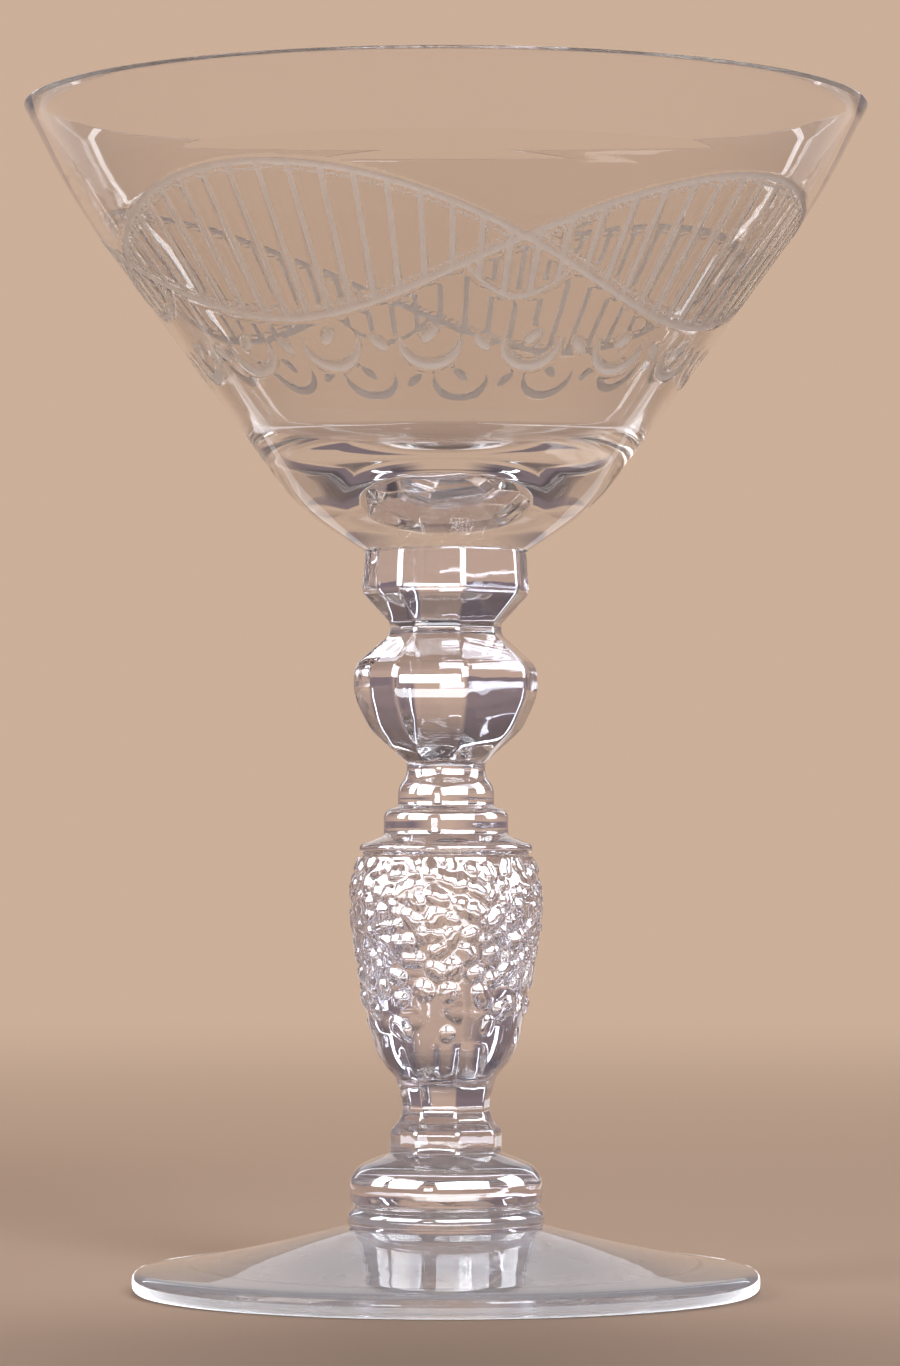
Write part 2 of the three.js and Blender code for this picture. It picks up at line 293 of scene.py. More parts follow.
def urn_corners():
    """The side of the urn, from just above the collar to the groove under the lid."""
    knots = [
        corner(URN_FOOT, URN_START)[0],
        corner(URN_HIP, URN_HIP_AT)[0],
        corner(URN_SIDE, URN_SIDE_AT)[0],
        corner(URN_BELLY, URN_BELLY_AT)[0],
        corner(URN_TOP, SHOULDER_START)[0],
    ]
    side = []
    for i in range(len(knots) - 1):
        before = knots[max(i - 1, 0)]
        after = knots[min(i + 2, len(knots) - 1)]
        start_handle = knots[i] + (knots[i + 1] - before) / HANDLE_PARTS
        end_handle = knots[i + 1] - (after - knots[i]) / HANDLE_PARTS
        curve = geometry.interpolate_bezier(knots[i], start_handle, end_handle, knots[i + 1], CURVE_STEPS)
        side.extend(curve[1:])
    return [(place, 0.0) for place in side]


print(f"urn to {SHOULDER_START:.1f}, widest at {URN_BELLY_AT:.1f}")

# %% Shoulder
LID_GROOVE = 18.4
LID_GROOVE_HEIGHT = 0.6
LID = 19.4
LID_EDGE_HEIGHT = 0.8
LID_CROWN_HEIGHT = 1.1
LID_ROUND = 0.5
LOWER_RING = 14.0
LOWER_RING_HEIGHT = 2.7
UPPER_RING = 10.8
UPPER_RING_HEIGHT = 2.1
RING_ROUND = 0.8
RING_STEP_HEIGHT = 0.5
NECK = 8.8
NECK_HEIGHT = 2.7

LID_FOOT = SHOULDER_START + LID_GROOVE_HEIGHT
LID_TOP = LID_FOOT + LID_EDGE_HEIGHT + LID_CROWN_HEIGHT
LOWER_RING_TOP = LID_TOP + LOWER_RING_HEIGHT
UPPER_RING_FOOT = LOWER_RING_TOP + RING_STEP_HEIGHT
UPPER_RING_TOP = UPPER_RING_FOOT + UPPER_RING_HEIGHT
BULB_START = UPPER_RING_TOP + NECK_HEIGHT


def shoulder_corners():
    """A lid with a sloping crown, two rings and a neck."""
    return [
        corner(LID_GROOVE, SHOULDER_START + LID_GROOVE_HEIGHT / 2, LID_GROOVE_HEIGHT / 4),
        corner(LID, LID_FOOT, PRESSED_EDGE / 2),
        corner(LID, LID_FOOT + LID_EDGE_HEIGHT, LID_ROUND),
        corner(LOWER_RING, LID_TOP, PRESSED_EDGE / 2),
        corner(LOWER_RING, LOWER_RING_TOP, RING_ROUND),
        corner(UPPER_RING, UPPER_RING_FOOT, PRESSED_EDGE / 2),
        corner(UPPER_RING, UPPER_RING_TOP, RING_ROUND),
        corner(NECK, UPPER_RING_TOP + NECK_HEIGHT / 2, RING_ROUND),
        corner(NECK, BULB_START, PRESSED_EDGE),
    ]


print(f"shoulder to {BULB_START:.1f}")

# %% Bulb and knop
BULB = 21.2
BULB_LOWER_HEIGHT = 7.5
BULB_FULLNESS = 2.6
BULB_BAND_HEIGHT = 3.3
BULB_UPPER_HEIGHT = 3.7
BULB_ROUND = 1.0
KNOP_NECK = 12.8
KNOP_NECK_HEIGHT = 1.1
KNOP_CHAMFER_HEIGHT = 3.4
KNOP = 19.3
KNOP_ROUND = 0.5
BOWL_SEAL_DIAMETER = 18.4
KNOP_TOP_DIAMETER = 18.6
KNOP_TOP_SOFTNESS = 0.25

BULB_BAND_FOOT = BULB_START + BULB_LOWER_HEIGHT
BULB_BAND_TOP = BULB_BAND_FOOT + BULB_BAND_HEIGHT
KNOP_START = BULB_BAND_TOP + BULB_UPPER_HEIGHT
KNOP_CHAMFER_FOOT = KNOP_START + KNOP_NECK_HEIGHT
KNOP_BAND_FOOT = KNOP_CHAMFER_FOOT + KNOP_CHAMFER_HEIGHT


def bulb_corners():
    """A full lower side, an upright band and a chamfer back in to the knop's neck."""
    swell = (NECK + BULB) / 2 + BULB_FULLNESS
    return [
        corner(swell, BULB_START + BULB_LOWER_HEIGHT / 2, BULB_ROUND),
        corner(BULB, BULB_BAND_FOOT, BULB_ROUND),
        corner(BULB, BULB_BAND_TOP, BULB_ROUND),
        corner(KNOP_NECK, KNOP_START, KNOP_ROUND),
    ]


def knop_corners():
    """A chamfer and a band that leans in a little, up to the seal under the bowl."""
    return [
        corner(KNOP_NECK, KNOP_CHAMFER_FOOT, KNOP_ROUND),
        corner(KNOP, KNOP_BAND_FOOT, KNOP_ROUND),
        corner(KNOP_TOP_DIAMETER, STEM_TOP - KNOP_TOP_SOFTNESS, KNOP_TOP_SOFTNESS),
        corner(BOWL_SEAL_DIAMETER, STEM_TOP),
        corner(0, STEM_TOP),
    ]


print(f"bulb to {KNOP_START:.1f}, knop to {STEM_TOP:.1f}")

# %% [markdown]
# ## Pressing the panels
# The mould has eight flat sides that show on the collar, the bulb and the knop, and faintly low on the urn.
# A spun body is round, so every point is drawn in by the ratio between a circle and an eight-sided figure
# at its angle. A plain ratio would leave knife edges, so a power mean of the two nearest sides rounds each
# edge, as hot glass does. How flat the panels are changes with height, from 0 for round to 1 for flat.

# %% Panel helpers
PANEL_COUNT = 8
PANEL_TURN = math.radians(12)
PANEL_ANGLE = math.tau / PANEL_COUNT
EDGE_CRISPNESS = 70
UNDER_COLLAR = 0.5
INTO_COLLAR = 0.3
UNDER_URN = 1.0
INTO_URN = 2.0
UNDER_BULB = 0.4
INTO_BULB = 2.0
URN_FOOT_FLATNESS = 0.45
URN_SIDE_FLATNESS = 0.35
PANEL_MARKS = [
    (COLLAR_START - UNDER_COLLAR, 0.0),
    (COLLAR_START + INTO_COLLAR, 1.0),
    (URN_START - UNDER_URN, 1.0),
    (URN_START + INTO_URN, URN_FOOT_FLATNESS),
    (URN_SIDE_AT, URN_SIDE_FLATNESS),
    (URN_BELLY_AT, 0.0),
    (BULB_START - UNDER_BULB, 0.0),
    (BULB_START + INTO_BULB, 1.0),
]


def smooth_step(share):
    """Eases a share from 0 to 1."""
    share = min(max(share, 0.0), 1.0)
    return share * share * (3 - 2 * share)


def panel_flatness(height):
    """How flat the panels are at a height, eased from mark to mark."""
    flatness = PANEL_MARKS[0][1]
    for (low, before), (high, after) in zip(PANEL_MARKS, PANEL_MARKS[1:]):
        if height > low:
            flatness = before + (after - before) * smooth_step((height - low) / (high - low))
    return flatness


def panel_pull(angle, flatness):
    """Share of the radius that is left where the panels draw the glass in."""
    from_edge = (angle - PANEL_TURN) % PANEL_ANGLE
    from_middle = abs(from_edge - PANEL_ANGLE / 2)
    near_side = math.cos(from_middle) ** EDGE_CRISPNESS
    next_side = math.cos(PANEL_ANGLE - from_middle) ** EDGE_CRISPNESS
    flat = math.cos(PANEL_ANGLE / 2) / (near_side + next_side) ** (1 / EDGE_CRISPNESS)
    return 1 + (flat - 1) * flatness


print(f"middle of a flat panel keeps {panel_pull(PANEL_TURN + PANEL_ANGLE / 2, 1.0):.3f} of the radius")

# %% [markdown]
# ## Pebbles on the urn
# The mould is pitted on the upper urn, so the glass comes out covered in small raised beads that catch the
# light, crowded under the lid and thinner lower down. A bump in the material would vanish on the edge of
# the urn, so the beads are real. Their places are thrown at random, from a seed, and a bead is kept if no
# other is too near; that least gap grows lower down. Each bead is short and round-ended and leans its own
# way.

# %% Scatter the pebbles
PEBBLE_LID_GAP = 0.7
PEBBLE_TOP = SHOULDER_START - PEBBLE_LID_GAP
PEBBLE_CROWDED = 37.0
PEBBLE_LOW = 28.5
PEBBLE_TRIES = 8000
PEBBLE_GAP = 1.6
PEBBLE_LOW_GAP = 3.6
PEBBLE_SMALL = 0.8
PEBBLE_LARGE = 1.25
PEBBLE_LENGTH = 0.6
PEBBLE_SEED = 7

urn_side = [place for place, _ in urn_corners()]


def urn_radius(height):
    """Radius of the urn at a height, from the sides of its own curve."""
    for lower, upper in zip(urn_side, urn_side[1:]):
        if lower.z <= height * MM <= upper.z:
            share = (height * MM - lower.z) / (upper.z - lower.z)
            return -(lower.y + (upper.y - lower.y) * share) / MM
    return URN_TOP / 2


def scatter_pebbles():
    """Seeded beads on the urn, each with its two ends and its half width, none too near another."""
    chance = random.Random(PEBBLE_SEED)
    middles = []
    beads = []
    for _ in range(PEBBLE_TRIES):
        height = chance.uniform(PEBBLE_LOW, PEBBLE_TOP)
        angle = chance.uniform(0, math.tau)
        lean = chance.uniform(0, math.pi)
        stretch = chance.uniform(0, PEBBLE_LENGTH)
        size = chance.uniform(PEBBLE_SMALL, PEBBLE_LARGE)
        crowding = min((height - PEBBLE_LOW) / (PEBBLE_CROWDED - PEBBLE_LOW), 1.0)
        gap = PEBBLE_LOW_GAP + (PEBBLE_GAP - PEBBLE_LOW_GAP) * crowding
        outward = Vector((math.sin(angle), -math.cos(angle), 0))
        middle = outward * urn_radius(height) + Vector((0, 0, height))
        if all((middle - other).length > gap for other in middles):
            across = Vector((math.cos(angle), math.sin(angle), 0)) * math.cos(lean)
            along = (across + Vector((0, 0, math.sin(lean)))) * stretch
            middles.append(middle)
            beads.append(((middle - along) * MM, (middle + along) * MM, size * MM))
    return beads


pebbles = scatter_pebbles()
print(f"{len(pebbles)} pebbles from {PEBBLE_TOP:.1f} down to {PEBBLE_LOW:.1f}")

# %% [markdown]
# ## Pressing the stem
# All zones are spun as one body, with fine rows where the pebbles are. A search tree finds the beads near
# each point of the urn, and the highest of their round caps lifts it. Between them the glass sinks a
# little, so that they stand out. Sculpting could give such relief, but not the same each time. The panels
# come last and draw in the beads with the rest of the glass.

# %% Press the stem
STEM_ROW = 0.8
PEBBLE_MESH_ROW = 0.22
PEBBLE_RISE = 0.4
PEBBLE_SINK = 0.2


def radius_of(place):
    """Distance of a point from the axis."""
    return math.hypot(place.x, place.y)


def angle_of(place):
    """Angle of a point to the right of the front, seen from the front."""
    return math.atan2(place.x, -place.y)


def bead_rise(place, tree):
    """How far the highest bead at a point lifts it."""
    rise = 0.0
    for _, i, _ in tree.find_range(place, (PEBBLE_LARGE + PEBBLE_LENGTH) * MM):
        start, end, size = pebbles[i]
        share = geometry.intersect_point_line(place, start, end)[1]
        nearest = start.lerp(end, min(max(share, 0.0), 1.0))
        cap = max(0.0, 1 - (place - nearest).length_squared / size ** 2)
        rise = max(rise, PEBBLE_RISE * size * cap)
    return rise


def press_pebbles(body):
    """Lifts the points of the urn that lie under a bead, outwards from the axis."""
    tree = kdtree.KDTree(len(pebbles))
    for i, (start, end, _) in enumerate(pebbles):
        tree.insert((start + end) / 2, i)
    tree.balance()
    low = (PEBBLE_LOW - PEBBLE_LARGE) * MM
    high = SHOULDER_START * MM
    for vert in body.verts:
        if low < vert.co.z < high:
            from_top = smooth_step((high - vert.co.z) / MM)
            from_plain = smooth_step((vert.co.z - low) / (PEBBLE_CROWDED * MM - low))
            rise = bead_rise(vert.co, tree) - PEBBLE_SINK * MM * from_top * from_plain
            radius = radius_of(vert.co)
            vert.co.xy *= (radius + rise) / radius


def press_stem():
    """The stem: one spun outline of all zones, drawn in to panels and pebbled on the urn."""
    body = bmesh.new()
    zones = base_corners() + collar_corners() + urn_corners()
    zones += shoulder_corners() + bulb_corners() + knop_corners()
    draw_outline(body, zones)
    add_rows(body, PEBBLE_MESH_ROW, PEBBLE_LOW - PEBBLE_LARGE, SHOULDER_START)
    add_rows(body, STEM_ROW)
    spin_round(body, ROUND_COLUMNS)
    press_pebbles(body)
    for vert in body.verts:
        vert.co.xy *= panel_pull(angle_of(vert.co), panel_flatness(vert.co.z / MM))
    return make_piece("pressed_stem", body)


pressed_stem = press_stem()

# %% [markdown]
# ## The frieze on the bowl
# The bowl is decorated on a cutting wheel with a common frieze: two bands that wave round the bowl and
# cross four times, upright cuts between them, a hatched fan under each crossing, and a row of crescents and
# leaves below. Instead of a picture texture, a short formula says how far any point of the wall is from the
# nearest cut, in millimetres, negative inside it. The same number presses the groove into the mesh and
# later tells the material where the ground glass is.

# %% Measure the frieze
FRIEZE_HEIGHT = 114.2
FRIEZE_SWING = 7.8
FRIEZE_CROSSING = math.radians(13.6)
FRIEZE_WAVES = 2
BAND_HALF_WIDTH = 0.42
LINE_HALF_WIDTH = 0.15
LINE_OFFSET = 0.95
HATCH_COUNT = 72
HATCH_ANGLE = math.tau / HATCH_COUNT
HATCH_HALF_WIDTH = 0.31
FAN_DEPTH = 6.0
FAN_REACH = math.radians(10.5)
FAN_RISE = 3.4
FAN_HALF_WIDTH = 0.32
# Length along the wall for each millimetre of height
WALL_SLANT = 1.24


def band_swing(angle):
    """How far above the middle of the frieze the first band runs; the second runs as far below."""
    return FRIEZE_SWING * math.sin(FRIEZE_WAVES * (angle - FRIEZE_CROSSING))


def band_distance(angle, height, radius):
    """Distance from the two waving bands and from the thin line inside each."""
    swing = band_swing(angle)
    slope = FRIEZE_SWING * FRIEZE_WAVES * math.cos(FRIEZE_WAVES * (angle - FRIEZE_CROSSING)) / radius
    tilt = WALL_SLANT / math.sqrt(1 + (slope * WALL_SLANT) ** 2)
    from_upper = (height - FRIEZE_HEIGHT - abs(swing)) * tilt
    from_lower = (FRIEZE_HEIGHT - abs(swing) - height) * tilt
    nearest = min(from_upper, from_lower, key=abs)
    band = abs(nearest) - BAND_HALF_WIDTH
    inner_line = abs(max(from_upper, from_lower) + LINE_OFFSET) - LINE_HALF_WIDTH
    return min(band, inner_line)


def hatch_distance(angle, height, radius):
    """Distance from the upright cuts between the bands, and from the fan under each crossing."""
    from_cut = (angle - FRIEZE_CROSSING) % HATCH_ANGLE - HATCH_ANGLE / 2
    cut = abs(from_cut) * radius - HATCH_HALF_WIDTH
    swing = abs(band_swing(angle))
    inside_lobe = (abs(height - FRIEZE_HEIGHT) - swing) * WALL_SLANT
    quarter = math.pi / FRIEZE_WAVES
    from_crossing = (angle - FRIEZE_CROSSING + quarter / 2) % quarter - quarter / 2
    share = from_crossing / FAN_REACH
    arc = FRIEZE_HEIGHT - FAN_DEPTH + FAN_RISE * share * share
    inside_fan = max(height - FRIEZE_HEIGHT + swing, arc - height) * WALL_SLANT
    beyond_fan = (abs(from_crossing) - FAN_REACH) * radius
    fan_arc = max(abs(height - arc) * WALL_SLANT - FAN_HALF_WIDTH, beyond_fan)
    hatched = min(inside_lobe, max(inside_fan, beyond_fan))
    return min(max(cut, hatched), fan_arc)


print(f"frieze from {FRIEZE_HEIGHT - FRIEZE_SWING:.1f} to {FRIEZE_HEIGHT + FRIEZE_SWING:.1f}")

# %% Measure the crescents and leaves
CRESCENT_COUNT = 16
CRESCENT_TURN = math.radians(-3.5)
CRESCENT_HEIGHT = 103.6
CRESCENT_RADIUS = 3.4
CRESCENT_BITE_RADIUS = 3.15
CRESCENT_BITE_RISE = 0.95
LEAF_LENGTH = 1.25
LEAF_WIDTH = 0.55
LEAF_LEAN = math.radians(40)
LEAF_RISE = 0.9


def leaf_distance(across, up, lean):
    """Distance from a small leaf, an ellipse that leans."""
    along = up * math.cos(lean) + across * math.sin(lean)
    side = across * math.cos(lean) - up * math.sin(lean)
    return (math.hypot(along / LEAF_LENGTH, side / LEAF_WIDTH) - 1) * LEAF_WIDTH


def crescent_distance(angle, height, radius):
    """Distance from the row of crescents, each with a leaf in it and a leaf between it and the next."""
    step = math.tau / CRESCENT_COUNT
    from_middle = (angle - CRESCENT_TURN + step / 2) % step - step / 2
    across = from_middle * radius
    up = (height - CRESCENT_HEIGHT) * WALL_SLANT
    whole = math.hypot(across, up) - CRESCENT_RADIUS
    bite = math.hypot(across, up - CRESCENT_BITE_RISE) - CRESCENT_BITE_RADIUS
    crescent = max(whole, -bite)
    inner_leaf = leaf_distance(across, up - LEAF_RISE, LEAF_LEAN)
    between = (from_middle % step - step / 2) * radius
    outer_leaf = leaf_distance(between, up, -LEAF_LEAN)
    return min(crescent, inner_leaf, outer_leaf)


def cut_distance(angle, height, radius):
    """Distance from the nearest cut of the whole frieze."""
    return min(
        band_distance(angle, height, radius),
        hatch_distance(angle, height, radius),
        crescent_distance(angle, height, radius),
    )


print(f"{CRESCENT_COUNT} crescents, {CRESCENT_RADIUS * 2:.1f} wide")

# %% [markdown]
# ## The bowl
# The bowl is blown thin: a rounded corner over the seal, a straight cone, and a lip that turns up a little
# to a fire-polished rim. A cone with a Solidify modifier would have an even wall, but a blown wall is
# thicker low down. So the outer wall is drawn first, and then the inner wall, from the middle of the rim
# down to a round bottom that is one Bezier curve.

# %% Bowl outline
BOWL_CORNER = 33.2
BOWL_CORNER_HEIGHT = 4.8
BOWL_CORNER_ROUND = 3.4
BOWL_CONE_HEIGHT = 34.4
BOWL_LIP = 83.8
BOWL_LIP_REACH = 4.6
RIM_WALL = 1.1
RIM_ROUND = 0.4
LIP_WALL = 1.4
BOTTOM_WALL = 2.2
BOTTOM_START = 14.0
BOTTOM_HEIGHT = 6.0
BOTTOM_WALL_PULL = 5.0
BOTTOM_PULL = 9.0
BOTTOM_STEPS = 14
SEAL_LEDGE = 0.3
SEAL_LEDGE_RISE = SEAL_LEDGE / 4

LIP_FOOT = STEM_TOP + BOWL_CORNER_HEIGHT + BOWL_CONE_HEIGHT


def bowl_outer_corners():
    """From the seal up the outer wall to the middle of the rim."""
    return [
        corner(0, STEM_TOP),
        corner(BOWL_SEAL_DIAMETER, STEM_TOP),
        corner(KNOP_TOP_DIAMETER + SEAL_LEDGE, STEM_TOP + SEAL_LEDGE_RISE),
        corner(BOWL_CORNER, STEM_TOP + BOWL_CORNER_HEIGHT, BOWL_CORNER_ROUND),
        corner(BOWL_LIP, LIP_FOOT, BOWL_LIP_REACH),
        corner(RIM_DIAMETER, RIM_HEIGHT, RIM_ROUND),
        corner(RIM_DIAMETER - RIM_WALL, RIM_HEIGHT),
    ]


def bowl_inner_corners():
    """From the middle of the rim down the inner wall and round the bottom to the axis."""
    share = (BOTTOM_START - BOWL_CORNER_HEIGHT) / BOWL_CONE_HEIGHT
    outer_there = BOWL_CORNER + (BOWL_LIP - BOWL_CORNER) * share
    wall_end = corner(outer_there - 2 * BOTTOM_WALL, STEM_TOP + BOTTOM_START)[0]
    lip = corner(BOWL_LIP - 2 * LIP_WALL, LIP_FOOT)[0]
    bottom = corner(0, STEM_TOP + BOTTOM_HEIGHT)[0]
    down_wall = wall_end + (wall_end - lip).normalized() * BOTTOM_WALL_PULL * MM
    along_bottom = bottom - Vector((0, BOTTOM_PULL * MM, 0))
    curve = geometry.interpolate_bezier(wall_end, down_wall, along_bottom, bottom, BOTTOM_STEPS)
    return [
        corner(RIM_DIAMETER - RIM_WALL, RIM_HEIGHT),
        corner(RIM_DIAMETER - 2 * RIM_WALL, RIM_HEIGHT, RIM_ROUND),
        (lip, BOWL_LIP_REACH * MM),
        *((place, 0.0) for place in curve),
    ]


print(f"lip starts at {LIP_FOOT:.1f}, glass over the seal is {BOTTOM_HEIGHT:.1f} thick")

# %% [markdown]
# ## Cutting the frieze
# The cuts are real grooves, so the wall has fine rows where they are and a whole number of columns for each
# upright cut. Each point asks how far inside a cut it lies, moves in along its normal, and keeps the number
# as an attribute for its finish. A boolean with hundreds of small cutters would be slow and leave long thin
# faces.

# %% Cut the frieze
CUT_LOW = 99.0
CUT_HIGH = 124.5
CUT_DEPTH = 0.22
CUT_STEEPNESS = 0.5
CUT_REACH = 0.6


def faces_out(normal, place):
    """True where the glass looks away from the axis."""
    return normal.x * place.x + normal.y * place.y > 0


def cut_frieze(body):
    """Presses the cuts into the outer wall and keeps the depth inside each as an attribute."""
    inside = body.verts.layers.float.new("cut")
    for vert in body.verts:
        vert[inside] = -CUT_REACH
        height = vert.co.z / MM
        if CUT_LOW < height < CUT_HIGH and faces_out(vert.normal, vert.co):
            distance = cut_distance(angle_of(vert.co), height, radius_of(vert.co) / MM)
            vert[inside] = max(-CUT_REACH, min(-distance, CUT_REACH))
            depth = min(max(vert[inside] * CUT_STEEPNESS, 0.0), CUT_DEPTH)
            vert.co -= vert.normal * depth * MM


print(f"cuts are up to {CUT_DEPTH} deep, from {CUT_LOW} to {CUT_HIGH}")

# %% Blow the bowl
CUT_ROW = 0.4
WALL_ROW = 2.4
COLUMNS_PER_CUT = 9
BOWL_COLUMNS = HATCH_COUNT * COLUMNS_PER_CUT


def split_at(wire, height):
    """Puts a point on every side of the wire that crosses a height."""
    bmesh.ops.bisect_plane(wire, geom=wire.verts[:] + wire.edges[:], dist=MERGE,
                           plane_co=(0, 0, height * MM), plane_no=AXIS)


def blow_bowl():
    """The bowl: spun walls and the cut frieze."""
    body = bmesh.new()
    draw_outline(body, bowl_outer_corners())
    split_at(body, CUT_LOW)
    split_at(body, CUT_HIGH)
    add_rows(body, CUT_ROW, CUT_LOW, CUT_HIGH)
    draw_outline(body, bowl_inner_corners())
    add_rows(body, WALL_ROW)
    spin_round(body, BOWL_COLUMNS)
    body.normal_update()
    cut_frieze(body)
    return make_piece("blown_bowl", body)


blown_bowl = blow_bowl()

# %% [markdown]
# ## Clear glass
# A Principled shader with all of its light transmitted is clear glass. Real glass is never quite even:
# blown glass has long soft waves, pressed glass the small waves of its mould, and all of it a little haze
# from washing. The finishes share one recipe, each with its own waves, haze and tint. The refractive index
# is the same all over, so it is written straight on the shader.

# %% Node helpers
def set_inputs(node, inputs):
    """Sets inputs of a node, by name or place, each to a value or by a link from a socket."""
    for key, value in inputs.items():
        if isinstance(value, bpy.types.NodeSocket):
            node.id_data.links.new(value, node.inputs[key])
        else:
            node.inputs[key].default_value = value


def add_node(tree, kind, inputs=None, **settings):
    """A shader node of a kind, with its settings and inputs."""
    node = tree.nodes.new("ShaderNode" + kind)
    for setting, value in settings.items():
        setattr(node, setting, value)
    set_inputs(node, inputs or {})
    return node


def empty_finish(name):
    """A material and its node tree, emptied."""
    finish = bpy.data.materials.new(name)
    finish.use_nodes = True
    finish.node_tree.nodes.clear()
    return finish, finish.node_tree


def add_noise(tree, scale, stretch=(1, 1, 1), detail=2.0):
    """A noise on the piece's own coordinates, scale in patches per metre, stretched along its axes."""
    place = add_node(tree, "TexCoord").outputs["Object"]
    stretched = add_node(tree, "Mapping", {"Vector": place, "Scale": stretch}).outputs["Vector"]
    return add_node(tree, "TexNoise", {"Vector": stretched, "Scale": scale, "Detail": detail}).outputs["Fac"]


def spread(tree, value, low, high, from_low=0.0, from_high=1.0, easing='LINEAR'):
    """Maps a value to a range from low to high, and holds it there."""
    ends = {"From Min": from_low, "From Max": from_high, "To Min": low, "To Max": high}
    return add_node(tree, "MapRange", {"Value": value, **ends}, interpolation_type=easing).outputs["Result"]


def add_bump(shader, height, depth, strength=1.0):
    """Bends the shader's normal by a height field, depth in metres, on top of any bend it has."""
    bump = add_node(shader.id_data, "Bump", {"Height": height, "Distance": depth, "Strength": strength})
    normal = shader.inputs["Normal"]
    if normal.is_linked:
        set_inputs(bump, {"Normal": normal.links[0].from_socket})
    set_inputs(shader, {"Normal": bump.outputs["Normal"]})


# %% Glass recipe
GLASS_IOR = 1.52
SMEAR_FINENESS = 2.3
SMEAR_LOW = 0.45
SMEAR_HIGH = 0.75


def clear_glass(name, tint, wave_scale, wave_depth, haze, wave_stretch=(1, 1, 1), least_haze=0.0):
    """Clear glass with soft waves in its skin and a faint uneven haze, and its shader."""
    finish, tree = empty_finish(name)
    smears = add_noise(tree, wave_scale * SMEAR_FINENESS)
    shader = add_node(tree, "BsdfPrincipled", {
        "Base Color": tint,
        "Transmission Weight": 1.0,
        "IOR": GLASS_IOR,
        "Roughness": spread(tree, smears, least_haze, haze, SMEAR_LOW, SMEAR_HIGH),
    })
    add_bump(shader, add_noise(tree, wave_scale, wave_stretch), wave_depth)
    add_node(tree, "OutputMaterial", {"Surface": shader.outputs["BSDF"]})
    return finish, shader


# %% [markdown]
# ## Finishes of the three gathers
# The bowl is plain clear glass. The stem is polished in the fire after pressing, so a bright coat lies over
# its glass and its facets flash. The foot carries a thin film of haze, so a little less than all of its
# light goes through. The hollow under it is never polished and keeps the satin skin of the mould.

# %% Finishes of the three gathers
BLOWN_TINT = (0.955, 0.945, 0.945, 1)
PRESSED_TINT = (0.905, 0.89, 0.965, 1)
CAST_TINT = (0.935, 0.935, 0.965, 1)
BLOWN_SKIN = {"wave_scale": 40, "wave_stretch": (1, 1, 2.5), "wave_depth": 0.05 * MM, "haze": 0.05}
PRESSED_SKIN = {"wave_scale": 220, "wave_depth": 0.07 * MM, "haze": 0.06}
CAST_SKIN = {"wave_scale": 70, "wave_depth": 0.03 * MM, "haze": 0.05}
SATIN_SKIN = {"wave_scale": 120, "wave_depth": 0.01 * MM, "haze": 0.34, "least_haze": 0.2}
FIRE_POLISH = 0.6
FIRE_POLISH_IOR = 2.0
FOOT_CLARITY = 0.88

blown_glass, _ = clear_glass("clear_blown_glass", BLOWN_TINT, **BLOWN_SKIN)
pressed_glass, shader = clear_glass("clear_pressed_glass", PRESSED_TINT, **PRESSED_SKIN)
set_inputs(shader, {"Coat Weight": FIRE_POLISH, "Coat IOR": FIRE_POLISH_IOR})
cast_glass, shader = clear_glass("clear_cast_glass", CAST_TINT, **CAST_SKIN)
set_inputs(shader, {"Transmission Weight": FOOT_CLARITY})
mould_skin, _ = clear_glass("mould_skin_glass", CAST_TINT, **SATIN_SKIN)
print("finishes:", blown_glass.name, pressed_glass.name, cast_glass.name, mould_skin.name)

# %% [markdown]
# ## Ground glass in the cuts
# A cutting wheel leaves the glass matte: the light scatters, so the cut looks pale and soft. The attribute
# that was kept on the bowl says how deep inside a cut each point is. A narrow map turns it into a mask with
# a crisp edge. Inside the mask the glass is rough, scatters part of its light back, and has the fine grain
# of the wheel. The same idea, masked by height, grinds the resting ring under the foot.

# %% Grey-cut finish
CUT_EDGE = 0.06
GROUND_TINT = (0.94, 0.915, 0.89, 1)
GROUND_CLARITY = 0.42
GROUND_ROUGH_LOW = 0.42
GROUND_ROUGH_HIGH = 0.6
GRAIN_SCALE = 3200
GRAIN_DETAIL = 4.0
GRAIN_DEPTH = 0.03 * MM


def blend_value(tree, mask, outside, inside):
    """A value that goes from outside to inside with a mask."""
    ends = {"Factor": mask, "A": outside, "B": inside}
    return add_node(tree, "Mix", ends, data_type='FLOAT').outputs["Result"]


def grind(shader, mask, clarity):
    """Makes the masked part of a glass matte, pale and grainy."""
    tree = shader.id_data
    grain = add_noise(tree, GRAIN_SCALE, detail=GRAIN_DETAIL)
    rough = spread(tree, grain, GROUND_ROUGH_LOW, GROUND_ROUGH_HIGH)
    polished = shader.inputs["Roughness"].links[0].from_socket
    set_inputs(shader, {
        "Roughness": blend_value(tree, mask, polished, rough),
        "Transmission Weight": blend_value(tree, mask, 1.0, clarity),
    })
    add_bump(shader, grain, GRAIN_DEPTH, mask)


grey_cut, shader = clear_glass("grey_cut_glass", GROUND_TINT, **BLOWN_SKIN)
tree = grey_cut.node_tree
cut_depth = add_node(tree, "Attribute", attribute_name="cut").outputs["Fac"]
grind(shader, spread(tree, cut_depth, 0.0, 1.0, -CUT_EDGE, CUT_EDGE), GROUND_CLARITY)
print("finish:", grey_cut.name)

# %% Ground resting ring
RING_FULLY_GROUND = 0.02
RING_GROUND_HEIGHT = 0.12
RING_CLARITY = 0.7

